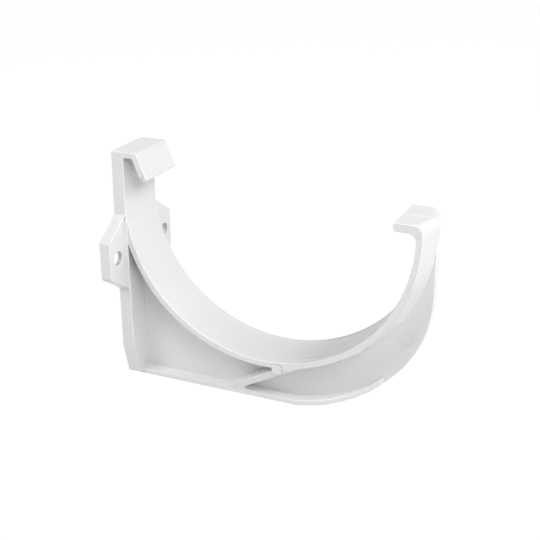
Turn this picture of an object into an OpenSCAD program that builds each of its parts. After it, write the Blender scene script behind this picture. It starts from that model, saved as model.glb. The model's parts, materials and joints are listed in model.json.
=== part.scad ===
// Fascia bracket for a half-round gutter, moulded in one piece of white PVC.
// X points away from the wall, Y runs along the fascia and Z is up.
// The origin is on the wall face, in the middle of the two screw holes.

/* [Gutter seat] */
// Radius of the seat that the gutter rests in
seat_r = 56; // [48:1:66]
// Height of the seat's centre above the screw line
seat_rise = 22; // [19:0.2:26]
// How far the seat's curve cuts into the plate's front face
seat_inset = 0.5; // [0.2:0.05:0.8]
// Width of the band and the hook
band_w = 21.6; // [19:0.2:26]
// Thickness of the band at its side edges
band_t = 2.4; // [1.8:0.1:3]
// How much thicker the band is where it meets the web
band_draft = 2.6; // [0.8:0.1:3]

/* [Wall plate] */
// Thickness of the wall plate
plate_t = 5; // [4.6:0.1:6]
// Width of the wall plate where it is widest, at the tops of the ears
plate_w = 22.6; // [22:0.1:24]
// Thickness of the wall left in front of the hollows in the plate's back
front_wall = 1.9; // [1.5:0.1:2.4]
// Width of the ribs and rims around those hollows
rim_w = 2; // [1.5:0.1:2.4]
// Width of the tapered foot at its lower corners
foot_w = 15.2; // [13:0.2:18]
// Height of the tapered foot
foot_h = 14; // [10:0.5:18]
// How far the foot's lower corners lie above the keel's underside
foot_rise = 1.1; // [0.5:0.1:2]

/* [Ears] */
// Width across both ears
ear_span = 45; // [42:0.5:52]
// Thickness of the ears, which lie a little behind the plate's front
ear_t = 4.5; // [4:0.1:4.5]
// Height of the ears at their outer edges
ear_tip_h = 14.6; // [12:0.2:17]
// Height of the ears where they leave the plate
ear_root_h = 30; // [26:0.2:32]
// Distance between the two screw holes
hole_pitch = 34.4; // [32:0.2:36]
// Diameter of the screw holes
hole_d = 5.4; // [4:0.1:5.6]
// Radius of the corners at the top of each ear
ear_top_r = 0.9; // [0.5:0.1:2]
// Radius of the corners at the bottom of each ear
ear_low_r = 2.1; // [1:0.1:3]

/* [Rear hook] */
// Height of the hook's top above the seat's centre
hook_rise = 17.4; // [14:0.2:22]
// Distance from the wall to the hook's upper front edge
hook_reach = 10.6; // [9.5:0.1:13]
// Thickness of the hook's top
hook_t = 2.2; // [1.8:0.1:3]
// Thickness of the hook's flap
flap_t = 2.6; // [2:0.1:3]
// Length of the flap along its slope
flap_len = 10.8; // [8:0.2:13]
// Angle of the flap from the vertical
flap_angle = 22; // [15:1:28]
// Radius of the hook's upper front edge
hook_edge_r = 0.8; // [0.4:0.1:1.4]
// Radius of the inner corner under the hook
hook_root_r = 0.9; // [0.4:0.1:1.4]
// Radius of the flap's lower front edge
flap_edge_r = 0.6; // [0.3:0.1:0.8]

/* [Front lip] */
// Height of the lip's top above the seat's centre
lip_rise = 4.9; // [4:0.1:7]
// Thickness of the lip
lip_t = 3.1; // [2:0.1:3.6]
// Distance that the lip reaches back over the gutter's edge
lip_reach = 8.4; // [6.5:0.1:10]
// How much less it reaches back at its top
lip_lean = 0.5; // [0:0.1:1]
// Radius of the lip's lower rear edge
lip_tip_r = 1.5; // [0.5:0.1:1.8]
// Radius of the inner corner under the lip
lip_root_r = 2.8; // [1.5:0.1:3.2]
// Radius of the nose's outer corner
nose_r = 3.2; // [2:0.1:3.8]

/* [Web and keel] */
// Thickness of the web
web_t = 2.6; // [2:0.1:3.2]
// Depth of the web below the seat
web_depth = 19.4; // [15:0.1:24]
// How much of the web's lowest curve is cut off by the flat keel
keel_flat = 0.7; // [0.4:0.1:1.2]
// Radius of the web's outline below the nose
front_r = 50; // [45:1:54]
// Width of the keel
keel_w = 11.8; // [9:0.2:14]
// Thickness of the keel
keel_t = 1.9; // [1.5:0.1:2.6]
// Distance in front of the seat's centre where the keel starts to narrow
keel_taper_x = 23.5; // [20:0.5:28]
// Length of the keel's narrowing end
keel_taper_len = 21; // [16:0.5:23]
// Width of the keel's rounded tip
keel_tip_w = 5.4; // [4:0.1:7]

/* [Braces] */
// Distance behind the seat's centre where the brace leaves the keel
brace_back = 18.2; // [15:0.2:22]
// Angle of the brace above the keel
brace_angle = 31; // [27:1:35]
// Thickness of the brace
brace_t = 2.8; // [1.8:0.1:3.2]
// Radius of the inner corner between the brace and the keel
brace_root_r = 1; // [0.6:0.1:2]
// Radius of the narrow corner between the brace and the band
brace_tip_r = 0.8; // [0.4:0.1:1.4]

/* [Hidden] */
$fn = 128;
// Overlap that joins solids which meet
lap = 1;
// How far the web's front stays inside the band's deepest line
nose_inset = 0.2;
// How much an arc grows where it meets the next line or arc smoothly, so that the two cross
swell = 0.01;

seat_x = plate_t + seat_r - seat_inset;
seat_z = seat_rise;
band_r = seat_r + band_t;
crown_r = band_r + band_draft;
hook_top = seat_z + hook_rise;
web_r = seat_r + web_depth;
keel_z = seat_z - web_r + keel_flat;
front_x = crown_r - nose_inset;
half_w = band_w / 2;

function unit(v) = v / norm(v);

function turn(a, b, c) = (b.x - a.x) * (c.y - b.y) - (b.y - a.y) * (c.x - b.x);

// How far to go from p along the unit vector d to enter the circle of radius r about 0
function run_in(p, d, r) = -p * d - sqrt((p * d) * (p * d) - p * p + r * r);

// Turns a flat outline into a solid that lies along Y, centred on the parting plane
module along_y(width) {
    rotate([90, 0, 0])
        linear_extrude(width, center = true)
            children();
}

// Turns a flat outline of Y and Z into a solid that starts at X = 0
module along_x(length) {
    rotate([90, 0, 90])
        linear_extrude(length)
            children();
}

// The sliver between a corner at v and the arc of radius r that rounds it
module corner_sliver(a, v, b, r) {
    u1 = unit(a - v);
    u2 = unit(b - v);
    middle = unit(u1 + u2);
    half = acos(u1 * u2) / 2;
    c = v + middle * r / sin(half);
    reach = r / tan(half);
    difference() {
        polygon([v - middle * r / 4, v + u1 * reach, c, v + u2 * reach]);
        translate(c)
            circle(r + swell);
    }
}

// A polygon, listed anticlockwise, with each corner rounded to its own radius
module rounded(points, radii) {
    n = len(points);
    difference() {
        union() {
            polygon(points);
            for (i = [0:n - 1])
                let (a = points[(i + n - 1) % n], v = points[i], b = points[(i + 1) % n])
                    if (radii[i] > 0 && turn(a, v, b) < 0)
                        corner_sliver(a, v, b, radii[i]);
        }
        for (i = [0:n - 1])
            let (a = points[(i + n - 1) % n], v = points[i], b = points[(i + 1) % n])
                if (radii[i] > 0 && turn(a, v, b) > 0)
                    corner_sliver(a, v, b, radii[i]);
    }
}

// Half of the plate's outline without its ears, from the parting plane to +Y
module plate_half_outline() {
    polygon([
        [-lap, keel_z],
        [keel_w / 2, keel_z],
        [foot_w / 2, keel_z + foot_rise],
        [half_w, keel_z + foot_h],
        [half_w, -ear_root_h / 2],
        [plate_w / 2, ear_root_h / 2],
        [half_w, hook_top - hook_t],
        [half_w, hook_top],
        [-lap, hook_top],
    ]);
}

// The same half outline with its ear
module eared_half_outline() {
    rounded(
        [
            [-lap, keel_z],
            [keel_w / 2, keel_z],
            [foot_w / 2, keel_z + foot_rise],
            [half_w, keel_z + foot_h],
            [half_w, -ear_root_h / 2],
            [ear_span / 2, -ear_tip_h / 2],
            [ear_span / 2, ear_tip_h / 2],
            [plate_w / 2, ear_root_h / 2],
            [half_w, hook_top - hook_t],
            [half_w, hook_top],
            [-lap, hook_top],
        ],
        [0, 0, 0, 0, ear_low_r, ear_low_r, ear_top_r, ear_top_r, 0, 0, 0]
    );
}

// Outline of the hollow behind one ear, which runs on behind the plate up to the web
module ear_hollow_outline() {
    slope = (ear_root_h - ear_tip_h) / (ear_span - plate_w);
    drop = rim_w * sqrt(1 + slope * slope);
    inner_h = (ear_root_h - rim_w) / 2;
    bend_y = plate_w / 2 - (drop - rim_w / 2) / slope;
    outer_y = ear_span / 2 - rim_w;
    outer_h = inner_h - slope * (outer_y - bend_y);
    polygon([
        [web_t / 2, -inner_h],
        [bend_y, -inner_h],
        [outer_y, -outer_h],
        [outer_y, outer_h],
        [bend_y, inner_h],
        [web_t / 2, inner_h],
    ]);
}

// Outlines of the hollows behind one half of the plate, above and below the ears
module plate_hollow_outlines() {
    inner_y = web_t / 2;
    outer_y = half_w - rim_w;
    rib_z = (ear_root_h + rim_w) / 2;
    translate([inner_y, rib_z])
        square([outer_y - inner_y, hook_top - hook_t - rib_z]);
    polygon([
        [inner_y, keel_z + keel_t],
        [foot_w / 2 - rim_w, keel_z + keel_t],
        [outer_y, keel_z + foot_h],
        [outer_y, -rib_z],
        [inner_y, -rib_z],
    ]);
}

// The plate against the wall, with its ears, screw holes and hollow back
module wall_plate() {
    color("white")
        for (side = [0, 1])
            mirror([0, side, 0])
                difference() {
                    union() {
                        along_x(plate_t)
                            plate_half_outline();
                        along_x(ear_t)
                            eared_half_outline();
                    }
                    translate([-lap, 0, 0])
                        along_x(lap + ear_t - front_wall)
                            ear_hollow_outline();
                    translate([-lap, 0, 0])
                        along_x(lap + plate_t - front_wall)
                            plate_hollow_outlines();
                    translate([-lap, hole_pitch / 2, 0])
                        rotate([0, 90, 0])
                            cylinder(h = plate_t + 2 * lap, d = hole_d);
                }
}

// The hook that holds the gutter's rear edge
module rear_hook() {
    down = [sin(flap_angle), -cos(flap_angle)];
    back = [-cos(flap_angle), -sin(flap_angle)];
    corner = [hook_reach, hook_top];
    tip = corner + down * flap_len;
    // where the flap's inner face meets the underside of the hook's top
    inner = corner + back * flap_t + down * (hook_t - flap_t * sin(flap_angle)) / cos(flap_angle);
    color("white")
        along_y(band_w)
            rounded(
                [
                    [plate_t - lap, hook_top - hook_t],
                    inner,
                    tip + back * flap_t,
                    tip,
                    corner,
                    [plate_t - lap, hook_top],
                ],
                [0, hook_root_r, flap_t / 2, flap_edge_r, hook_edge_r, 0]
            );
}

// Section of the band from the radius inner_r out, with its radius along X and its width along Y
module band_section(inner_r) {
    polygon([
        [inner_r, -half_w],
        [band_r, -half_w],
        [crown_r, -web_t / 2],
        [crown_r, web_t / 2],
        [band_r, half_w],
        [inner_r, half_w],
    ]);
}

// The half-round band under the gutter
module band() {
    color("white")
        translate([seat_x, 0, seat_z])
            intersection() {
                rotate([90, 0, 0])
                    rotate([0, 0, 180])
                        rotate_extrude(angle = 180)
                            band_section(seat_r);
                translate([plate_t - lap - seat_x, -band_w, -2 * web_r])
                    cube([3 * web_r, 2 * band_w, 2 * web_r]);
            }
}

// The slivers that round the nose's upper front edges: one along the crown and one along
// each sloping half of the front
module nose_corner_slivers() {
    slope = atan(band_draft / (half_w - web_t / 2));
    for (side = [-1, 0, 1])
        translate([crown_r, side * web_t / 2, lip_rise])
            rotate([0, 0, side * slope])
                along_y(2 * band_w)
                    corner_sliver([-1, 0], [0, 0], [0, -1], nose_r);
}

// The front wall above the seat's centre and the lip that turns back over the gutter
module nose() {
    tip_x = seat_r - lip_reach;
    under_z = lip_rise - lip_t;
    // the inner corner's arc touches the lip's underside and the seat
    root_z = under_z - lip_root_r;
    root_c = [sqrt(pow(seat_r - lip_root_r, 2) - root_z * root_z), root_z];
    wall_r = seat_r + band_t / 2;
    color("white")
        translate([seat_x, 0, seat_z]) {
            difference() {
                intersection() {
                    along_y(2 * band_w)
                        rounded(
                            [
                                [seat_r, 0],
                                [crown_r + lap, 0],
                                [crown_r + lap, lip_rise],
                                [tip_x + lip_lean, lip_rise],
                                [tip_x, under_z],
                                [seat_r, under_z],
                            ],
                            [0, 0, 0, lip_tip_r / 2, lip_tip_r, 0]
                        );
                    linear_extrude(2 * lip_rise)
                        band_section(0);
                }
                nose_corner_slivers();
            }
            along_y(band_w)
                difference() {
                    polygon([
                        root_c,
                        unit(root_c) * wall_r,
                        [wall_r, under_z + lip_t / 4],
                        [root_c.x, under_z + lip_t / 4],
                    ]);
                    translate(root_c)
                        circle(lip_root_r + swell);
                }
        }
}

// Everything inside the web's outline, moved inwards by inset, up to the seat's centre.
// Its sides at the back and at the top run out past the web's own by over.
module web_area(inset, over) {
    low_z = keel_flat - web_r + inset;
    rear_x = plate_t - lap - seat_x - over;
    outer_r = web_r - inset;
    inner_r = front_r - inset;
    // the angle below the horizontal at which the two arcs meet
    meet = acos((front_x - front_r) / (web_r - front_r));
    arc_c = (web_r - front_r) * [cos(meet), -sin(meet)];
    polygon([
        [rear_x, over],
        [rear_x, low_z],
        [0, low_z],
        arc_c,
        [arc_c.x + inner_r, arc_c.y],
        [arc_c.x + inner_r, over],
    ]);
    intersection() {
        circle(outer_r);
        polygon([[0, 0], [0, low_z], [-low_z / tan(meet), low_z]]);
    }
    difference() {
        translate(arc_c)
            circle(inner_r + swell);
        translate([-web_r, arc_c.y + 2 * lap])
            square([2 * web_r, web_r]);
    }
}

// The thin web on the parting plane, between the plate, the band and the keel
module web() {
    color("white")
        translate([seat_x, 0, seat_z])
            along_y(web_t)
                difference() {
                    web_area(0, 0);
                    circle(seat_r + band_t / 2);
                    translate([-2 * web_r, -2 * lap])
                        square([4 * web_r, web_r]);
                }
}

// The flange along the web's lower edge, which narrows to a rounded tip at the front
module keel() {
    tip_x = keel_taper_x + keel_taper_len - keel_tip_w / 2;
    color("white")
        translate([seat_x, 0, seat_z])
            intersection() {
                along_y(band_w)
                    difference() {
                        web_area(0, 0);
                        web_area(keel_t, lap);
                    }
                translate([0, 0, -2 * web_r])
                    linear_extrude(2 * web_r - lap) {
                        polygon([
                            [-2 * web_r, -keel_w / 2],
                            [keel_taper_x, -keel_w / 2],
                            [tip_x, -keel_tip_w / 2],
                            [tip_x, keel_tip_w / 2],
                            [keel_taper_x, keel_w / 2],
                            [-2 * web_r, keel_w / 2],
                        ]);
                        translate([tip_x, 0])
                            circle(d = keel_tip_w);
                    }
            }
}

// The sloping brace from the keel up to the band, as wide as each where it meets them
module brace() {
    along = [cos(brace_angle), sin(brace_angle)];
    up = [-along.y, along.x];
    upper = [-brace_back, keel_flat - web_r + keel_t];
    lower = upper + [brace_t / sin(brace_angle), 0];
    reach = 2 * web_depth;
    // where the upper face meets the band, and the centre of the corner's rounding there
    contact = upper + along * run_in(upper, along, band_r);
    start = upper + up * brace_tip_r;
    tip_c = start + along * run_in(start, along, band_r + brace_tip_r);
    color("white")
        translate([seat_x, 0, seat_z])
            intersection() {
                along_y(band_w)
                    difference() {
                        union() {
                            rounded(
                                [
                                    lower - [0, keel_t / 2],
                                    lower + [2 * brace_root_r, -keel_t / 2],
                                    lower + [2 * brace_root_r, 0],
                                    lower,
                                    lower + along * reach,
                                    upper + along * reach,
                                    upper,
                                    upper - [0, keel_t / 2],
                                ],
                                [0, 0, 0, brace_root_r, 0, 0, 0, 0]
                            );
                            difference() {
                                polygon([
                                    tip_c,
                                    tip_c - up * (brace_tip_r + band_t / 4),
                                    contact + along * band_t,
                                    unit(tip_c) * (band_r - band_t / 4),
                                ]);
                                translate(tip_c)
                                    circle(brace_tip_r + swell);
                            }
                        }
                        circle(seat_r + band_t / 2);
                    }
                translate([-web_r, 0, 0])
                    along_x(2 * web_r)
                        polygon([
                            [-keel_w / 2, -web_r],
                            [keel_w / 2, -web_r],
                            [keel_w / 2, upper.y],
                            [half_w, contact.y],
                            [half_w, 0],
                            [-half_w, 0],
                            [-half_w, contact.y],
                            [-keel_w / 2, upper.y],
                        ]);
            }
}

module bracket() {
    union() {
        wall_plate();
        rear_hook();
        band();
        nose();
        web();
        keel();
        brace();
    }
}

bracket();
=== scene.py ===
"""Looks for a one-piece moulded gutter bracket, built around its CAD solid.

The moulding is the CAD solid with the soft edges that a tool leaves, its parting line and its pin marks.
Sizes are in metres in the part's own frame: +X points away from the wall, Y runs along the gutter, +Z is
up, and the origin is on the wall face, midway between the two screw holes.
"""

import json
import math

import bmesh
import bpy
from bpy.props import FloatProperty, FloatVectorProperty, IntProperty, PointerProperty
from bpy.types import Operator, Panel, PropertyGroup
from mathutils import Matrix, Quaternion, Vector


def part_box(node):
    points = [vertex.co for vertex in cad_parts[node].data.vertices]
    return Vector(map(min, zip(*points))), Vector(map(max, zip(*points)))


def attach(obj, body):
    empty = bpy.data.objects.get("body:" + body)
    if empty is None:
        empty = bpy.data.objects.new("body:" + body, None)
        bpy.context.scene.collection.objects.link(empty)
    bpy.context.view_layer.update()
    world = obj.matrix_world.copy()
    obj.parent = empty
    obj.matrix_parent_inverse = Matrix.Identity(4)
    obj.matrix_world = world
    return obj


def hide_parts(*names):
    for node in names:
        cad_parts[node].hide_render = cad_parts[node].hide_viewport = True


bl_info = {
    "name": "Gutter Bracket Looks",
    "version": (1, 0, 0),
    "blender": (4, 5, 0),
    "location": "View3D > Sidebar > Gutter Bracket",
    "description": "Gives a moulded gutter bracket its soft edges, tool marks, plastic and studio",
    "category": "Object",
}

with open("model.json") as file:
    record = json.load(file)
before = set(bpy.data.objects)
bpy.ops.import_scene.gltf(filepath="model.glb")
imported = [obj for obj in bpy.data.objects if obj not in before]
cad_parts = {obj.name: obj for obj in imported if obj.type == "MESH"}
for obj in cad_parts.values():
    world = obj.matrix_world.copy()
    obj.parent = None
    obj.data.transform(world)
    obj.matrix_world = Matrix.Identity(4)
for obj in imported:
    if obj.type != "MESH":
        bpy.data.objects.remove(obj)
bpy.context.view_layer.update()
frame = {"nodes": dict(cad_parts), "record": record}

NODE = "bracket"
MOULDING = "bracket_moulding"
MM = 0.001

lowest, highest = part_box(NODE)
mounts = {mount["name"]: mount for mount in frame["record"]["mounts"]}
SEAT_X, _, SEAT_Z = mounts["gutter_seat"]["pos_m"]
HOLE_PLACE = mounts["screw_holes"]["dims"]["spacing_x_mm"] / 2 * MM
HOLE_RADIUS = mounts["screw_holes"]["dims"]["hole_r_mm"] * MM
EAR_FRONT = mounts["screw_holes"]["pos_m"][0]
SEAT_RADIUS = 56 * MM

# Each face holds, under this name, its painted highlight: by how much of its colour it is drawn lighter than
# the plastic around it. Below 0 it holds painted shade and is drawn darker.
PAINTED_LIGHT_AND_SHADE = "painted_light_and_shade"

# Distance under which two points are one, and distance under which a point lies on a cutting plane.
MERGE_GAP = 1e-6
CUT_GAP = 1e-7

# A rounded edge is turned away where its normal leans further than this down, or towards the wall; such
# an edge gets painted shade instead of a painted highlight.
LEAN_DOWN = 0.2
LEAN_BACK = 0.5

# Facets round a mark and across its rim, how far a rim's edge turns at least, and how far the normal of a
# mark's wall leans along Y at most.
MARK_SEGMENTS = 48
MARK_RIM_SEGMENTS = 2
MARK_RIM_ANGLE = math.radians(45)
MARK_WALL_LEAN = 0.5

# The painted light and shade of the plastic change smoothly, and each pair says from where to where:
# a distance from an axis, a place along an axis, or an angle about the seat's axis from straight down.
HOLE_WALL = (HOLE_RADIUS, HOLE_RADIUS + 0.1 * MM)
SEAM_HEIGHT = (4 * MM, 14 * MM)
SEAM_REACH = (104 * MM, 106 * MM)
PLATE_FRONT = (EAR_FRONT - 0.1 * MM, EAR_FRONT + 0.3 * MM)
BAND_SIDE = (10.5 * MM, 10.7 * MM)
BAND_SKIN = (SEAT_RADIUS + 0.3 * MM, SEAT_RADIUS + 0.5 * MM)
WEDGE_DEPTH = (SEAT_RADIUS + 2.5 * MM, SEAT_RADIUS + 9.5 * MM)
WEDGE_REACH = (4.8 * MM, 24 * MM)
WEDGE_TOP = (5.6 * MM, 6 * MM)
HOOK_HEIGHT = (21 * MM, 35 * MM)
HOOK_CEILING = (37 * MM, 37.4 * MM)
HOOK_REACH = (5.2 * MM, 12 * MM)
SEAT_SKIN = (SEAT_RADIUS + 0.1 * MM, SEAT_RADIUS + 0.3 * MM)
STREAK_BEGIN = (math.radians(2), math.radians(26))
STREAK_END = (math.radians(48), math.radians(72))

# The painted shade under the hook as a share of the painted shade between the plate and the band.
HOOK_SHARE = 0.45

# How far from its middle a seam's painted line is still whole, and from where on it is gone, as shares
# of its width.
SEAM_HALF = (0.35, 0.65)

# Streaks of painted shade along the seat: cells of noise per radian, width of a cell, the noise at which a
# streak is faintest and at which it is whole, and the share that is left where it is faintest.
STREAK_CELLS = 1.4
STREAK_WIDTH = 1.6 * MM
STREAK_NOISE = (0.3, 0.65)
STREAK_LEAST = 0.35

# The random values at which a cell's speck has no size and full size, and the width of a speck's rim as a
# share of the largest speck's radius.
SPECK_CHANCE = (0.2, 1.0)
SPECK_RIM = 0.3

# Noise of the clouds at the lowest and at the highest roughness.
CLOUD_RANGE = (0.3, 0.7)

# How far the floor lies under the lowest point, how bright it is seen, and how much that counts.
FLOOR_GAP = 0.02 * MM
FLOOR_GLOW = 1.06
FLOOR_GLOW_SHARE = 0.92


# ---------------------------------------------------------------- settings


class MouldingSettings(PropertyGroup):
    """Sizes of the soft edges and of the parting line"""

    edge_radius: FloatProperty(
        name="Edge Radius",
        description="How far the rounding reaches from each edge",
        default=0.24 * MM,
        min=0.05 * MM,
        max=0.8 * MM,
        precision=5,
        unit="LENGTH",
    )
    edge_segments: IntProperty(
        name="Edge Segments",
        description="Number of facets across each rounded edge",
        default=3,
        min=1,
        max=6,
    )
    sharp_angle: FloatProperty(
        name="Sharp Angle",
        description="Outer edges that turn by more than this are rounded",
        default=math.radians(40),
        subtype="ANGLE",
    )
    flat_angle: FloatProperty(
        name="Flat Angle",
        description="Facets that turn by less than this are joined into one",
        default=math.radians(0.5),
        subtype="ANGLE",
    )
    crease_angle: FloatProperty(
        name="Crease Angle",
        description="Edges that still turn by more than this after the rounding are shaded sharp",
        default=math.radians(55),
        subtype="ANGLE",
    )
    # Painted highlight along the outer edges, and painted shade along edges turned down or to the wall.
    painted_edge_highlight: FloatProperty(
        name="Edge Light",
        description="How much lighter the plastic is along its outer edges",
        default=0.17,
        min=0.0,
        max=0.2,
    )
    painted_under_shade: FloatProperty(
        name="Under Shade",
        description="How much darker the plastic is along edges turned down or to the wall",
        default=0.25,
        min=0.0,
        max=0.5,
    )
    parting_length: FloatProperty(
        name="Parting Length",
        description="How far behind the foremost point the parting step starts",
        default=20 * MM,
        unit="LENGTH",
    )
    parting_width: FloatProperty(
        name="Parting Width",
        description="Width of the small step where the tool's halves met",
        default=0.15 * MM,
        precision=5,
        unit="LENGTH",
    )
    parting_depth: FloatProperty(
        name="Parting Depth",
        description="How much thinner the far half of the lip is than the near half",
        default=0.22 * MM,
        precision=5,
        unit="LENGTH",
    )
    parting_low: FloatProperty(
        name="Parting Low",
        description="Height at which the step has faded out",
        default=6 * MM,
        unit="LENGTH",
    )
    parting_high: FloatProperty(
        name="Parting High",
        description="Height from which the step is whole",
        default=22 * MM,
        unit="LENGTH",
    )


class MarkSettings(PropertyGroup):
    """Places and sizes of the round marks that the tool's pins left"""

    hook_place: FloatVectorProperty(
        name="Hook Mark Place",
        description="Middle of the recessed mark at the tip of the hook's flap",
        size=3,
        default=(12.95 * MM, -10.8 * MM, 30.15 * MM),
        precision=4,
        subtype="TRANSLATION",
        unit="LENGTH",
    )
    hook_radius: FloatProperty(
        name="Hook Mark Radius",
        description="Radius of the mark on the hook",
        default=0.95 * MM,
        precision=5,
        unit="LENGTH",
    )
    lip_place: FloatVectorProperty(
        name="Lip Mark Place",
        description="Middle of the recessed mark in the corner under the lip",
        size=3,
        default=(117.2 * MM, -10.8 * MM, 22.5 * MM),
        precision=4,
        subtype="TRANSLATION",
        unit="LENGTH",
    )
    lip_radius: FloatProperty(
        name="Lip Mark Radius",
        description="Radius of the mark under the lip",
        default=0.7 * MM,
        precision=5,
        unit="LENGTH",
    )
    band_place: FloatVectorProperty(
        name="Band Mark Place",
        description="Middle of the raised mark where the brace meets the band",
        size=3,
        default=(66.3 * MM, -10.8 * MM, -36.2 * MM),
        precision=4,
        subtype="TRANSLATION",
        unit="LENGTH",
    )
    band_radius: FloatProperty(
        name="Band Mark Radius",
        description="Radius of the raised mark",
        default=1.9 * MM,
        precision=5,
        unit="LENGTH",
    )
    web_place: FloatVectorProperty(
        name="Web Mark Place",
        description="Middle of the recessed mark on the front of the web",
        size=3,
        default=(112.2 * MM, -1.3 * MM, -19.3 * MM),
        precision=4,
        subtype="TRANSLATION",
        unit="LENGTH",
    )
    web_radius: FloatProperty(
        name="Web Mark Radius",
        description="Radius of the mark on the web",
        default=2.9 * MM,
        precision=5,
        unit="LENGTH",
    )
    hook_depth: FloatProperty(
        name="Hook Mark Depth",
        description="How deep the mark on the hook goes",
        default=0.3 * MM,
        precision=5,
        unit="LENGTH",
    )
    lip_depth: FloatProperty(
        name="Lip Mark Depth",
        description="How deep the mark under the lip goes",
        default=0.15 * MM,
        precision=5,
        unit="LENGTH",
    )
    band_height: FloatProperty(
        name="Band Mark Height",
        description="How far the mark on the band stands out from its place",
        default=0.7 * MM,
        precision=5,
        unit="LENGTH",
    )
    web_depth: FloatProperty(
        name="Web Mark Depth",
        description="How deep the mark on the web goes",
        default=0.3 * MM,
        precision=5,
        unit="LENGTH",
    )
    # Painted shade on the marks' walls, and a painted highlight on the raised mark's rim.
    painted_wall_shade: FloatProperty(
        name="Wall Shade",
        description="How much darker the plastic is on the walls of the marks on the hook and the band",
        default=0.45,
        min=0.0,
        max=0.5,
    )
    painted_faint_shade: FloatProperty(
        name="Faint Shade",
        description="How much darker the plastic is on the walls of the marks on the lip and the web",
        default=0.1,
        min=0.0,
        max=0.5,
    )
    painted_rim_highlight: FloatProperty(
        name="Rim Light",
        description="How much lighter the plastic is on the rim of the raised mark",
        default=0.17,
        min=0.0,
        max=0.2,
    )
    rim: FloatProperty(
        name="Rim Rounding",
        description="How far the rounding of each mark's rim reaches",
        default=0.1 * MM,
        precision=5,
        unit="LENGTH",
    )


class PlasticSettings(PropertyGroup):
    """Colour and surface of the white plastic"""

    colour: FloatVectorProperty(
        name="Colour",
        description="Colour of the plastic",
        subtype="COLOR",
        size=4,
        min=0.0,
        max=1.0,
        default=(0.828, 0.815, 0.822, 1.0),
    )
    mottle_colour: FloatVectorProperty(
        name="Mottle Colour",
        description="Colour of the faint clouds in the plastic",
        subtype="COLOR",
        size=4,
        min=0.0,
        max=1.0,
        default=(0.808, 0.793, 0.801, 1.0),
    )
    roughness_low: FloatProperty(
        name="Lowest Roughness",
        description="Roughness where the surface is glossiest",
        default=0.28,
        min=0.0,
        max=1.0,
    )
    roughness_high: FloatProperty(
        name="Highest Roughness",
        description="Roughness where the surface is dullest",
        default=0.36,
        min=0.0,
        max=1.0,
    )
    cloud_size: FloatProperty(
        name="Cloud Size",
        description="Size of the clouds in the colour and the gloss",
        default=9 * MM,
        unit="LENGTH",
    )
    # Painted shade inside the screw holes.
    painted_bore_shade: FloatProperty(
        name="Bore Shade",
        description="How much darker the plastic is inside the screw holes",
        default=0.35,
        min=0.0,
        max=1.0,
    )
    # A painted highlight at the rim of the lip's parting step and a painted shadow at its foot.
    painted_seam_highlight: FloatProperty(
        name="Seam Light",
        description="How much lighter the rim of the parting step is than the plastic beside it",
        default=0.16,
        min=0.0,
        max=0.2,
    )
    seam_width: FloatProperty(
        name="Seam Width",
        description="Width of the light line and of the dark line along the lip's parting step",
        default=0.7 * MM,
        precision=5,
        unit="LENGTH",
    )
    painted_seam_shade: FloatProperty(
        name="Seam Shade",
        description="How much darker the foot of the parting step is than the plastic beside it",
        default=0.2,
        min=0.0,
        max=1.0,
    )
    # Painted shade between the plate and the band and under the hook.
    painted_deep_shade: FloatProperty(
        name="Deep Shade",
        description="How much darker the plastic is at most between plate and band and under the hook",
        default=0.36,
        min=0.0,
        max=1.0,
    )
    # Painted shade in faint streaks at the front of the seat.
    painted_seat_shade: FloatProperty(
        name="Flow Shade",
        description="How much darker the flow marks at the front of the seat are at most",
        default=0.33,
        min=0.0,
        max=1.0,
    )
    speck_gap: FloatProperty(
        name="Speck Gap",
        description="Usual distance between the dark specks in the plastic",
        default=13 * MM,
        unit="LENGTH",
    )
    speck_size: FloatProperty(
        name="Speck Size",
        description="Radius of the largest specks",
        default=0.3 * MM,
        precision=5,
        unit="LENGTH",
    )
    speck_shade: FloatProperty(
        name="Speck Shade",
        description="How much darker a speck is than the plastic",
        default=0.35,
        min=0.0,
        max=1.0,
    )
    grain_size: FloatProperty(
        name="Grain Size",
        description="Size of the fine grain left by the tool",
        default=0.35 * MM,
        precision=5,
        unit="LENGTH",
    )
    grain_depth: FloatProperty(
        name="Grain Depth",
        description="Height of the fine grain left by the tool",
        default=0.004 * MM,
        precision=7,
        unit="LENGTH",
    )


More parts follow.
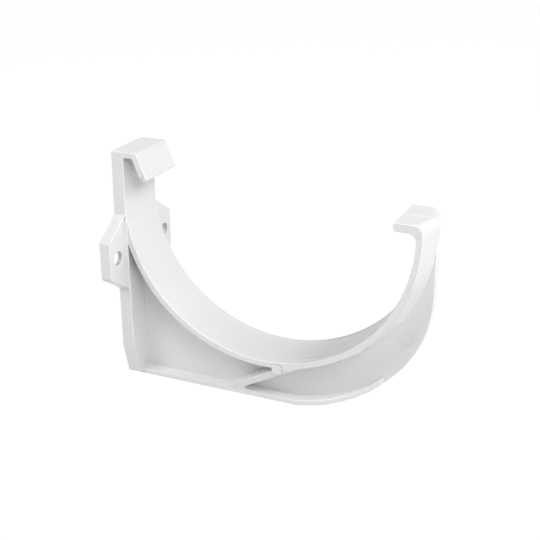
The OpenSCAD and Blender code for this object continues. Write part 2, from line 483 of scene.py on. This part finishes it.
class StageSettings(PropertyGroup):
    """Camera, lamps and floor"""

    azimuth: FloatProperty(
        name="Azimuth",
        description="How far round from straight in front of the -Y side the camera looks from",
        default=math.radians(24.448),
        subtype="ANGLE",
    )
    elevation: FloatProperty(
        name="Elevation",
        description="How far the camera looks down",
        default=math.radians(22.176),
        subtype="ANGLE",
    )
    roll: FloatProperty(
        name="Roll",
        description="How far the camera is turned about its own line of sight",
        default=math.radians(-0.337),
        subtype="ANGLE",
    )
    camera_place: FloatVectorProperty(
        name="Camera Place",
        description="Where the camera stands",
        size=3,
        default=(0.2080, -0.32827, 0.14489),
        subtype="TRANSLATION",
        unit="LENGTH",
    )
    focal_length: FloatProperty(
        name="Focal Length",
        description="Focal length of the camera, in millimetres",
        default=70.655,
        min=10,
        max=200,
    )
    sky_strength: FloatProperty(
        name="Sky Strength",
        description="Strength of the even light from all sides",
        default=0.1,
        min=0.0,
    )
    lamp_distance: FloatProperty(
        name="Lamp Distance",
        description="Distance of the soft boxes from the bracket's middle",
        default=0.9,
        unit="LENGTH",
    )
    lamp_size: FloatProperty(
        name="Lamp Size",
        description="Length of each side of the soft boxes",
        default=0.35,
        unit="LENGTH",
    )
    left_power: FloatProperty(
        name="Left Power",
        description="Power of the soft box at the wall side, in watts",
        default=2.6,
        min=0.0,
    )
    overhead_power: FloatProperty(
        name="Overhead Power",
        description="Power of the soft box high above the camera, in watts",
        default=1.1,
        min=0.0,
    )
    camera_power: FloatProperty(
        name="Camera Power",
        description="Power of the soft box beside the camera, in watts",
        default=2.95,
        min=0.0,
    )
    right_power: FloatProperty(
        name="Right Power",
        description="Power of the soft box in front of the lip, in watts",
        default=2.15,
        min=0.0,
    )
    low_power: FloatProperty(
        name="Low Power",
        description="Power of the low soft box in front of the lip, in watts",
        default=0.9,
        min=0.0,
    )
    rear_power: FloatProperty(
        name="Rear Power",
        description="Power of the soft box beyond the lip, in watts",
        default=1.55,
        min=0.0,
    )
    floor_colour: FloatVectorProperty(
        name="Floor Colour",
        description="Colour of the floor",
        subtype="COLOR",
        size=4,
        min=0.0,
        max=1.0,
        default=(0.88, 0.88, 0.88, 1.0),
    )
    floor_size: FloatProperty(
        name="Floor Size",
        description="Length of each side of the floor",
        default=8.0,
        unit="LENGTH",
    )


# ---------------------------------------------------------------- helpers


def new_object(name, mesh):
    """Put a mesh in the scene as an object at the origin."""
    piece = bpy.data.objects.new(name, mesh)
    bpy.context.scene.collection.objects.link(piece)
    return piece


def the_moulding():
    """The moulding, which the other operators work on."""
    moulding = bpy.data.objects.get(MOULDING)
    if moulding is None:
        raise RuntimeError("the moulding has to be made first")
    return moulding


def direction(azimuth, elevation):
    """Unit vector at an azimuth from straight in front of the -Y side towards +X, and an elevation."""
    level = math.cos(elevation)
    return Vector((math.sin(azimuth) * level, -math.cos(azimuth) * level, math.sin(elevation)))


def smooth_step(value):
    """0 up to 0, 1 from 1, and a smooth rise between them."""
    held = min(max(value, 0.0), 1.0)
    return held * held * (3 - 2 * held)


def pin_cutter(name, place, radius, span, rim, painted_wall_shade, painted_rim_tone):
    """A disc about Y with rounded rims that cuts or raises a mark. Its span is along Y from its place."""
    low, high = span
    middle = Matrix.Translation((place[0], place[1] + (low + high) / 2, place[2]))
    bm = bmesh.new()
    bmesh.ops.create_cone(
        bm,
        cap_ends=True,
        segments=MARK_SEGMENTS,
        radius1=radius,
        radius2=radius,
        depth=high - low,
        matrix=middle @ Matrix.Rotation(math.pi / 2, 4, "X"),
    )
    # The walls get painted shade, and the rims painted shade on a recessed mark or a painted highlight on a
    # raised one.
    shade = bm.faces.layers.float.new(PAINTED_LIGHT_AND_SHADE)
    for face in bm.faces:
        if abs(face.normal.y) < MARK_WALL_LEAN:
            face[shade] = painted_wall_shade
    rounded = bmesh.ops.bevel(
        bm,
        geom=[edge for edge in bm.edges if edge.calc_face_angle() > MARK_RIM_ANGLE],
        offset=rim,
        offset_type="OFFSET",
        segments=MARK_RIM_SEGMENTS,
        profile=0.5,
        affect="EDGES",
        clamp_overlap=True,
        material=-1,
    )
    for face in rounded["faces"]:
        face[shade] = painted_rim_tone
    mesh = bpy.data.meshes.new(name)
    bm.to_mesh(mesh)
    bm.free()
    return new_object(name, mesh)


def combine(piece, cutter, operation):
    """Cut or join a disc with the piece, keep the result in the piece's mesh and take the disc away."""
    step = piece.modifiers.new(cutter.name, "BOOLEAN")
    step.operation = operation
    step.solver = "EXACT"
    step.object = cutter
    faces_before = len(piece.data.polygons)
    depsgraph = bpy.context.evaluated_depsgraph_get()
    result = bpy.data.meshes.new_from_object(piece.evaluated_get(depsgraph))
    piece.modifiers.remove(step)
    old = piece.data
    result.name = old.name + "_marked"
    piece.data = result
    bpy.data.meshes.remove(old)
    disc = cutter.data
    bpy.data.objects.remove(cutter)
    bpy.data.meshes.remove(disc)
    if len(result.polygons) <= faces_before:
        raise RuntimeError("a pin mark left no trace on " + piece.name)


# ---------------------------------------------------------------- shader arithmetic


def add_node(tree, kind, **values):
    """Add a shader node and set the given inputs."""
    node = tree.nodes.new(kind)
    for key, value in values.items():
        node.inputs[key.replace("_", " ")].default_value = value
    return node


def ramp(tree, value, span, at_first, at_last):
    """A value that goes smoothly from at_first to at_last while the given one crosses the span."""
    node = add_node(
        tree, "ShaderNodeMapRange", From_Min=span[0], From_Max=span[1], To_Min=at_first, To_Max=at_last
    )
    node.interpolation_type = "SMOOTHSTEP"
    tree.links.new(value, node.inputs["Value"])
    return node.outputs["Result"]


def reckon(tree, operation, first, second=None):
    """One step of arithmetic on a socket and a socket or a number."""
    node = tree.nodes.new("ShaderNodeMath")
    node.operation = operation
    tree.links.new(first, node.inputs[0])
    if isinstance(second, (int, float)):
        node.inputs[1].default_value = second
    elif second is not None:
        tree.links.new(second, node.inputs[1])
    return node.outputs[0]


def product(tree, first, *others):
    """All the given values multiplied."""
    result = first
    for other in others:
        result = reckon(tree, "MULTIPLY", result, other)
    return result


def darkened(tree, share, most):
    """1 where the share is 0, and less by most where the share is 1."""
    return reckon(tree, "ADD", reckon(tree, "MULTIPLY", share, -most), 1.0)


def coordinates(tree, vector):
    """The X, Y and Z of a vector."""
    split = tree.nodes.new("ShaderNodeSeparateXYZ")
    tree.links.new(vector, split.inputs[0])
    return split.outputs["X"], split.outputs["Y"], split.outputs["Z"]


def distance(tree, first, second):
    """How far a point lies from an axis, when it is first and second away from it."""
    squares = reckon(tree, "ADD", product(tree, first, first), product(tree, second, second))
    return reckon(tree, "SQRT", squares)


def from_seat_axis(tree, x, z):
    """How far ahead of the seat's axis, above it, and away from it a point lies."""
    ahead = reckon(tree, "SUBTRACT", x, SEAT_X)
    above = reckon(tree, "SUBTRACT", z, SEAT_Z)
    return ahead, above, distance(tree, ahead, above)


# ---------------------------------------------------------------- plastic


def seam_line(tree, y, middle, width, strength):
    """A faint painted line of the given width along the moulding, at Y = middle."""
    aside = reckon(tree, "ABSOLUTE", reckon(tree, "SUBTRACT", y, middle))
    return ramp(tree, aside, (width * SEAM_HALF[0], width * SEAM_HALF[1]), strength, 0.0)


def painted_seam_shade(tree, place, settings):
    """1 but along the lip's parting step: a painted highlight at its rim and a painted shadow at its foot.
    """
    x, y, z = coordinates(tree, place)
    width = settings.seam_width
    rim = seam_line(tree, y, -width / 2, width, settings.painted_seam_highlight)
    foot = seam_line(tree, y, width / 2, width, settings.painted_seam_shade)
    line = product(
        tree,
        reckon(tree, "SUBTRACT", rim, foot),
        ramp(tree, z, SEAM_HEIGHT, 0.0, 1.0),
        ramp(tree, x, SEAM_REACH, 0.0, 1.0),
    )
    return reckon(tree, "ADD", line, 1.0)


def painted_bore_shade(tree, place, settings):
    """1 everywhere but inside the screw holes, where painted shade darkens the plastic."""
    _, y, z = coordinates(tree, place)
    aside = reckon(tree, "SUBTRACT", reckon(tree, "ABSOLUTE", y), HOLE_PLACE)
    return ramp(tree, distance(tree, aside, z), HOLE_WALL, 1.0 - settings.painted_bore_shade, 1.0)


def painted_deep_shade(tree, place, settings):
    """1 everywhere but between the plate, the web and the band and under the hook, where shade is painted.
    """
    x, y, z = coordinates(tree, place)
    far = from_seat_axis(tree, x, z)[2]
    wedge = product(
        tree,
        ramp(tree, far, BAND_SKIN, 0.0, 1.0),
        ramp(tree, far, WEDGE_DEPTH, 1.0, 0.0),
        ramp(tree, x, WEDGE_REACH, 1.0, 0.0),
        ramp(tree, z, WEDGE_TOP, 1.0, 0.0),
    )
    hook = product(
        tree,
        ramp(tree, z, HOOK_HEIGHT, 0.0, HOOK_SHARE),
        ramp(tree, x, HOOK_REACH, 1.0, 0.0),
        ramp(tree, z, HOOK_CEILING, 1.0, 0.0),
    )
    share = product(
        tree,
        reckon(tree, "ADD", wedge, hook),
        ramp(tree, reckon(tree, "ABSOLUTE", y), BAND_SIDE, 1.0, 0.0),
        ramp(tree, x, PLATE_FRONT, 0.0, 1.0),
    )
    return darkened(tree, share, settings.painted_deep_shade)


def painted_seat_shade(tree, place, settings):
    """1 everywhere but at the front of the seat, where painted shade lies in faint streaks along the arc."""
    x, y, z = coordinates(tree, place)
    ahead, above, far = from_seat_axis(tree, x, z)
    angle = reckon(tree, "ARCTAN2", ahead, reckon(tree, "MULTIPLY", above, -1.0))
    unrolled = tree.nodes.new("ShaderNodeCombineXYZ")
    tree.links.new(reckon(tree, "MULTIPLY", angle, STREAK_CELLS), unrolled.inputs["X"])
    tree.links.new(reckon(tree, "MULTIPLY", y, 1 / STREAK_WIDTH), unrolled.inputs["Y"])
    streaks = add_node(tree, "ShaderNodeTexNoise", Scale=1.0, Detail=3.0)
    tree.links.new(unrolled.outputs["Vector"], streaks.inputs["Vector"])
    share = product(
        tree,
        ramp(tree, far, SEAT_SKIN, 1.0, 0.0),
        ramp(tree, angle, STREAK_BEGIN, 0.0, 1.0),
        ramp(tree, angle, STREAK_END, 1.0, 0.0),
        ramp(tree, streaks.outputs["Fac"], STREAK_NOISE, STREAK_LEAST, 1.0),
    )
    return darkened(tree, share, settings.painted_seat_shade)


def speck_shade(tree, place, settings):
    """1 everywhere but in a few tiny specks, each in a cell of its own."""
    largest = settings.speck_size / settings.speck_gap
    cells = add_node(tree, "ShaderNodeTexVoronoi", Scale=1 / settings.speck_gap)
    cells.feature = "F1"
    tree.links.new(place, cells.inputs["Vector"])
    chance = coordinates(tree, cells.outputs["Color"])[0]
    size = ramp(tree, chance, SPECK_CHANCE, 0.0, largest)
    inside = reckon(tree, "SUBTRACT", size, cells.outputs["Distance"])
    return ramp(tree, inside, (0.0, SPECK_RIM * largest), 1.0, 1.0 - settings.speck_shade)


def plastic_material(settings):
    """White rigid plastic: faint clouds, satin gloss, fine grain, dark specks, painted light and shade."""
    material = bpy.data.materials.new("white_pvc")
    material.use_nodes = True
    tree = material.node_tree
    tree.nodes.clear()
    output = tree.nodes.new("ShaderNodeOutputMaterial")
    shader = add_node(tree, "ShaderNodeBsdfPrincipled", IOR=1.53)
    tree.links.new(shader.outputs["BSDF"], output.inputs["Surface"])
    place = tree.nodes.new("ShaderNodeTexCoord").outputs["Object"]

    clouds = add_node(
        tree, "ShaderNodeTexNoise", Scale=1 / settings.cloud_size, Detail=4.0, Roughness=0.55
    )
    tree.links.new(place, clouds.inputs["Vector"])
    tint = tree.nodes.new("ShaderNodeMix")
    tint.data_type = "RGBA"
    tint.inputs["A"].default_value = settings.mottle_colour
    tint.inputs["B"].default_value = settings.colour
    tree.links.new(clouds.outputs["Fac"], tint.inputs["Factor"])
    # Each factor below but the specks is painted light and shade.
    painted_face_light = tree.nodes.new("ShaderNodeAttribute")
    painted_face_light.attribute_name = PAINTED_LIGHT_AND_SHADE
    shades = (
        reckon(tree, "ADD", painted_face_light.outputs["Fac"], 1.0),
        painted_seam_shade(tree, place, settings),
        painted_bore_shade(tree, place, settings),
        painted_deep_shade(tree, place, settings),
        painted_seat_shade(tree, place, settings),
        speck_shade(tree, place, settings),
    )
    colour = tint.outputs["Result"]
    for shade in shades:
        shaded = tree.nodes.new("ShaderNodeVectorMath")
        shaded.operation = "SCALE"
        tree.links.new(colour, shaded.inputs[0])
        tree.links.new(shade, shaded.inputs["Scale"])
        colour = shaded.outputs["Vector"]
    tree.links.new(colour, shader.inputs["Base Color"])

    gloss = add_node(
        tree,
        "ShaderNodeMapRange",
        From_Min=CLOUD_RANGE[0],
        From_Max=CLOUD_RANGE[1],
        To_Min=settings.roughness_low,
        To_Max=settings.roughness_high,
    )
    tree.links.new(clouds.outputs["Fac"], gloss.inputs["Value"])
    tree.links.new(gloss.outputs["Result"], shader.inputs["Roughness"])

    grain = add_node(tree, "ShaderNodeTexNoise", Scale=1 / settings.grain_size, Detail=2.0)
    tree.links.new(place, grain.inputs["Vector"])
    bump = add_node(tree, "ShaderNodeBump", Strength=1.0, Distance=settings.grain_depth)
    tree.links.new(grain.outputs["Fac"], bump.inputs["Height"])
    tree.links.new(bump.outputs["Normal"], shader.inputs["Normal"])
    return material


def seen_by_camera(tree):
    """1 where the camera, a mirror or glass looks, and 0 for light that falls on something."""
    path = tree.nodes.new("ShaderNodeLightPath")
    seen = path.outputs["Is Camera Ray"]
    for other in ("Is Glossy Ray", "Is Transmission Ray"):
        seen = reckon(tree, "MAXIMUM", seen, path.outputs[other])
    return seen


# ---------------------------------------------------------------- pieces


class GUTTERBRACKET_OT_add_moulding(Operator):
    """Make the moulding from the CAD bracket, still with its sharp edges"""

    bl_idname = "gutter_bracket.add_moulding"
    bl_label = "Add Moulding"

    def execute(self, context):
        bm = bmesh.new()
        bm.from_mesh(frame["nodes"][NODE].data)
        bmesh.ops.remove_doubles(bm, verts=bm.verts, dist=MERGE_GAP)
        bm.faces.layers.float.new(PAINTED_LIGHT_AND_SHADE)
        mesh = bpy.data.meshes.new(MOULDING)
        bm.to_mesh(mesh)
        bm.free()
        if mesh.attributes.get("custom_normal"):
            mesh.attributes.remove(mesh.attributes["custom_normal"])
        moulding = new_object(MOULDING, mesh)
        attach(moulding, "root")
        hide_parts(NODE)
        return {"FINISHED"}


class GUTTERBRACKET_OT_add_pin_marks(Operator):
    """Cut the recessed pin marks into the moulding and raise the one on the band"""

    bl_idname = "gutter_bracket.add_pin_marks"
    bl_label = "Add Pin Marks"

    def execute(self, context):
        settings = context.scene.gutter_bracket_marks
        moulding = the_moulding()
        # Painted shade on the walls of the marks, and a painted highlight on the rim of the raised one.
        dark = -settings.painted_wall_shade
        faint = -settings.painted_faint_shade
        recesses = (
            ("hook_mark", settings.hook_place, settings.hook_radius, settings.hook_depth, dark),
            ("lip_mark", settings.lip_place, settings.lip_radius, settings.lip_depth, faint),
            ("web_mark", settings.web_place, settings.web_radius, settings.web_depth, faint),
        )
        for name, place, radius, depth, shade in recesses:
            span = (-2 * radius, depth)
            cutter = pin_cutter(name, place, radius, span, settings.rim, shade, shade)
            combine(moulding, cutter, "DIFFERENCE")
        raised = pin_cutter(
            "band_mark",
            settings.band_place,
            settings.band_radius,
            (-settings.band_height, settings.band_height / 2),
            settings.rim,
            dark,
            settings.painted_rim_highlight,
        )
        combine(moulding, raised, "UNION")
        return {"FINISHED"}


class GUTTERBRACKET_OT_round_edges(Operator):
    """Round the moulding's edges and set the step at its parting line"""

    bl_idname = "gutter_bracket.round_edges"
    bl_label = "Round Edges"

    def execute(self, context):
        settings = context.scene.gutter_bracket_moulding
        mesh = the_moulding().data
        bm = bmesh.new()
        bm.from_mesh(mesh)
        bmesh.ops.dissolve_limit(
            bm,
            angle_limit=settings.flat_angle,
            use_dissolve_boundaries=False,
            verts=bm.verts,
            edges=bm.edges,
        )
        self.round_outer_edges(bm, settings)
        self.add_parting_step(bm, settings)
        bm.to_mesh(mesh)
        bm.free()
        return {"FINISHED"}

    def round_outer_edges(self, bm, settings):
        """Round every sharp outer edge but the pin marks' own, and give what is rounded painted light and
        shade.
        """
        shade = bm.faces.layers.float[PAINTED_LIGHT_AND_SHADE]
        sharp = [
            edge
            for edge in bm.edges
            if edge.is_manifold
            and edge.calc_face_angle_signed() > settings.sharp_angle
            and all(face[shade] == 0 for face in edge.link_faces)
        ]
        if not sharp:
            raise RuntimeError("the moulding has no sharp edges to round")
        rounded = bmesh.ops.bevel(
            bm,
            geom=sharp,
            offset=settings.edge_radius,
            offset_type="OFFSET",
            segments=settings.edge_segments,
            profile=0.5,
            affect="EDGES",
            clamp_overlap=False,
            material=-1,
        )
        bm.normal_update()
        # Painted highlight on the rounded faces, and painted shade on those turned down or to the wall.
        for face in rounded["faces"]:
            turned_away = face.normal.z < -LEAN_DOWN or face.normal.x < -LEAN_BACK
            face[shade] = -settings.painted_under_shade if turned_away else settings.painted_edge_highlight

    def add_parting_step(self, bm, settings):
        """Make the far half of the lip a little thinner, with a narrow step beside the parting plane."""
        lip_from = highest.x - settings.parting_length
        step_height = settings.parting_high - settings.parting_low
        for y in (0.0, settings.parting_width):
            everything = bm.verts[:] + bm.edges[:] + bm.faces[:]
            bmesh.ops.bisect_plane(bm, geom=everything, dist=CUT_GAP, plane_co=(0, y, 0), plane_no=(0, 1, 0))
        for share in (0.0, 0.5, 1.0):
            z = settings.parting_low + share * step_height
            faces = [face for face in bm.faces if min(vert.co.x for vert in face.verts) > lip_from]
            edges = {edge for face in faces for edge in face.edges}
            verts = {vert for face in faces for vert in face.verts}
            around = list(edges | verts) + faces
            bmesh.ops.bisect_plane(bm, geom=around, dist=CUT_GAP, plane_co=(0, 0, z), plane_no=(0, 0, 1))
        for edge in bm.edges:
            ends = [vert.co for vert in edge.verts]
            in_lip = all(end.x >= lip_from and end.z >= settings.parting_low for end in ends)
            for y in (0.0, settings.parting_width):
                if in_lip and all(abs(end.y - y) < MERGE_GAP for end in ends):
                    edge.smooth = False
        bm.normal_update()
        moves = {}
        for vert in bm.verts:
            if vert.co.x > lip_from and vert.co.y > settings.parting_width - MERGE_GAP:
                fade = smooth_step((vert.co.z - settings.parting_low) / step_height)
                outwards = Vector((max(vert.normal.x, 0), 0, max(vert.normal.z, 0)))
                moves[vert] = outwards * (-settings.parting_depth * fade)
        for vert, move in moves.items():
            vert.co += move


class GUTTERBRACKET_OT_finish_surface(Operator):
    """Give the moulding its even shading and its plastic"""

    bl_idname = "gutter_bracket.finish_surface"
    bl_label = "Finish Surface"

    def execute(self, context):
        moulding = the_moulding()
        crease_angle = context.scene.gutter_bracket_moulding.crease_angle
        mesh = moulding.data
        bm = bmesh.new()
        bm.from_mesh(mesh)
        for face in bm.faces:
            face.smooth = True
        for edge in bm.edges:
            if edge.is_manifold and edge.calc_face_angle() > crease_angle:
                edge.smooth = False
        bm.to_mesh(mesh)
        bm.free()
        mesh.materials.clear()
        mesh.materials.append(plastic_material(context.scene.gutter_bracket_plastic))
        weighted = moulding.modifiers.new("even_shading", "WEIGHTED_NORMAL")
        weighted.mode = "FACE_AREA"
        weighted.weight = 50
        weighted.keep_sharp = True
        return {"FINISHED"}


class GUTTERBRACKET_OT_add_stage(Operator):
    """Make the floor, the lamps, the sky and the camera"""

    bl_idname = "gutter_bracket.add_stage"
    bl_label = "Add Stage"

    def execute(self, context):
        settings = context.scene.gutter_bracket_stage
        self.add_floor(settings)
        self.add_sky(context.scene, settings)
        self.add_lamps(context.scene, settings)
        self.add_camera(context.scene, settings)
        context.scene.view_settings.view_transform = "Standard"
        return {"FINISHED"}

    def add_floor(self, settings):
        """A plain pale floor just under the lowest point, seen nearly white but for the shadow on it."""
        bm = bmesh.new()
        bmesh.ops.create_grid(bm, x_segments=1, y_segments=1, size=settings.floor_size / 2)
        bmesh.ops.translate(bm, vec=(0, 0, lowest.z - FLOOR_GAP), verts=bm.verts)
        mesh = bpy.data.meshes.new("floor")
        bm.to_mesh(mesh)
        bm.free()
        material = bpy.data.materials.new("pale_floor")
        material.use_nodes = True
        tree = material.node_tree
        tree.nodes.clear()
        output = tree.nodes.new("ShaderNodeOutputMaterial")
        matt = add_node(tree, "ShaderNodeBsdfDiffuse", Color=settings.floor_colour)
        glow = add_node(tree, "ShaderNodeEmission", Strength=FLOOR_GLOW)
        mix = tree.nodes.new("ShaderNodeMixShader")
        tree.links.new(reckon(tree, "MULTIPLY", seen_by_camera(tree), FLOOR_GLOW_SHARE), mix.inputs["Fac"])
        tree.links.new(matt.outputs["BSDF"], mix.inputs[1])
        tree.links.new(glow.outputs["Emission"], mix.inputs[2])
        tree.links.new(mix.outputs["Shader"], output.inputs["Surface"])
        mesh.materials.append(material)
        new_object("floor", mesh)

    def add_sky(self, scene, settings):
        """A faint even light from all sides, seen as white."""
        world = bpy.data.worlds.new("studio")
        scene.world = world
        world.use_nodes = True
        tree = world.node_tree
        tree.nodes.clear()
        output = tree.nodes.new("ShaderNodeOutputWorld")
        even = add_node(tree, "ShaderNodeBackground", Color=(1, 1, 1, 1), Strength=settings.sky_strength)
        seen = add_node(tree, "ShaderNodeBackground", Color=(1, 1, 1, 1), Strength=1.0)
        mix = tree.nodes.new("ShaderNodeMixShader")
        tree.links.new(seen_by_camera(tree), mix.inputs["Fac"])
        tree.links.new(even.outputs["Background"], mix.inputs[1])
        tree.links.new(seen.outputs["Background"], mix.inputs[2])
        tree.links.new(mix.outputs["Shader"], output.inputs["Surface"])

    def add_lamps(self, scene, settings):
        """Large soft boxes, all as far from the bracket's middle, at azimuths and elevations in degrees."""
        middle = (lowest + highest) / 2
        lamps = (
            ("left_soft_box", -45, 40, settings.left_power),
            ("overhead_soft_box", 0, 65, settings.overhead_power),
            ("camera_soft_box", 45, 40, settings.camera_power),
            ("right_soft_box", 90, 40, settings.right_power),
            ("low_soft_box", 90, 15, settings.low_power),
            ("rear_soft_box", 135, 40, settings.rear_power),
        )
        for name, azimuth, elevation, power in lamps:
            place = direction(math.radians(azimuth), math.radians(elevation)) * settings.lamp_distance
            light = bpy.data.lights.new(name, "AREA")
            light.shape = "SQUARE"
            light.size = settings.lamp_size
            light.energy = power
            lamp = bpy.data.objects.new(name, light)
            scene.collection.objects.link(lamp)
            lamp.location = middle + place
            lamp.rotation_mode = "QUATERNION"
            lamp.rotation_quaternion = place.to_track_quat("Z", "Y")

    def add_camera(self, scene, settings):
        """The camera, level but for a slight roll."""
        data = bpy.data.cameras.new("camera")
        data.lens = settings.focal_length
        data.sensor_width = 36.0
        data.clip_start = 0.01
        data.clip_end = 20.0
        camera = bpy.data.objects.new("camera", data)
        scene.collection.objects.link(camera)
        away = direction(settings.azimuth, settings.elevation)
        camera.location = settings.camera_place
        camera.rotation_mode = "QUATERNION"
        camera.rotation_quaternion = away.to_track_quat("Z", "Y") @ Quaternion((0, 0, 1), settings.roll)
        scene.camera = camera


class GUTTERBRACKET_PT_panel(Panel):
    """The pieces of the gutter bracket"""

    bl_idname = "GUTTERBRACKET_PT_panel"
    bl_label = "Gutter Bracket"
    bl_space_type = "VIEW_3D"
    bl_region_type = "UI"
    bl_category = "Gutter Bracket"

    def draw(self, context):
        layout = self.layout
        scene = context.scene
        groups = (
            ("Moulding", None, GUTTERBRACKET_OT_add_moulding),
            ("Pin Marks", scene.gutter_bracket_marks, GUTTERBRACKET_OT_add_pin_marks),
            ("Edges", scene.gutter_bracket_moulding, GUTTERBRACKET_OT_round_edges),
            ("Plastic", scene.gutter_bracket_plastic, GUTTERBRACKET_OT_finish_surface),
            ("Stage", scene.gutter_bracket_stage, GUTTERBRACKET_OT_add_stage),
        )
        for title, settings, operator in groups:
            box = layout.box()
            box.label(text=title)
            if settings is not None:
                for name in settings.__annotations__:
                    box.prop(settings, name)
            box.operator(operator.bl_idname)


CLASSES = (
    MouldingSettings,
    MarkSettings,
    PlasticSettings,
    StageSettings,
    GUTTERBRACKET_OT_add_moulding,
    GUTTERBRACKET_OT_add_pin_marks,
    GUTTERBRACKET_OT_round_edges,
    GUTTERBRACKET_OT_finish_surface,
    GUTTERBRACKET_OT_add_stage,
    GUTTERBRACKET_PT_panel,
)


def register():
    """Make the settings, the operators and the panel known to Blender."""
    for cls in CLASSES:
        bpy.utils.register_class(cls)
    bpy.types.Scene.gutter_bracket_moulding = PointerProperty(type=MouldingSettings)
    bpy.types.Scene.gutter_bracket_marks = PointerProperty(type=MarkSettings)
    bpy.types.Scene.gutter_bracket_plastic = PointerProperty(type=PlasticSettings)
    bpy.types.Scene.gutter_bracket_stage = PointerProperty(type=StageSettings)


def unregister():
    """Take away what register added."""
    del bpy.types.Scene.gutter_bracket_stage
    del bpy.types.Scene.gutter_bracket_plastic
    del bpy.types.Scene.gutter_bracket_marks
    del bpy.types.Scene.gutter_bracket_moulding
    for cls in reversed(CLASSES):
        bpy.utils.unregister_class(cls)


def main():
    """Make the pieces and the stage in order."""
    register()
    bpy.ops.gutter_bracket.add_moulding()
    bpy.ops.gutter_bracket.add_pin_marks()
    bpy.ops.gutter_bracket.round_edges()
    bpy.ops.gutter_bracket.finish_surface()
    bpy.ops.gutter_bracket.add_stage()


if __name__ == "__main__":
    main()
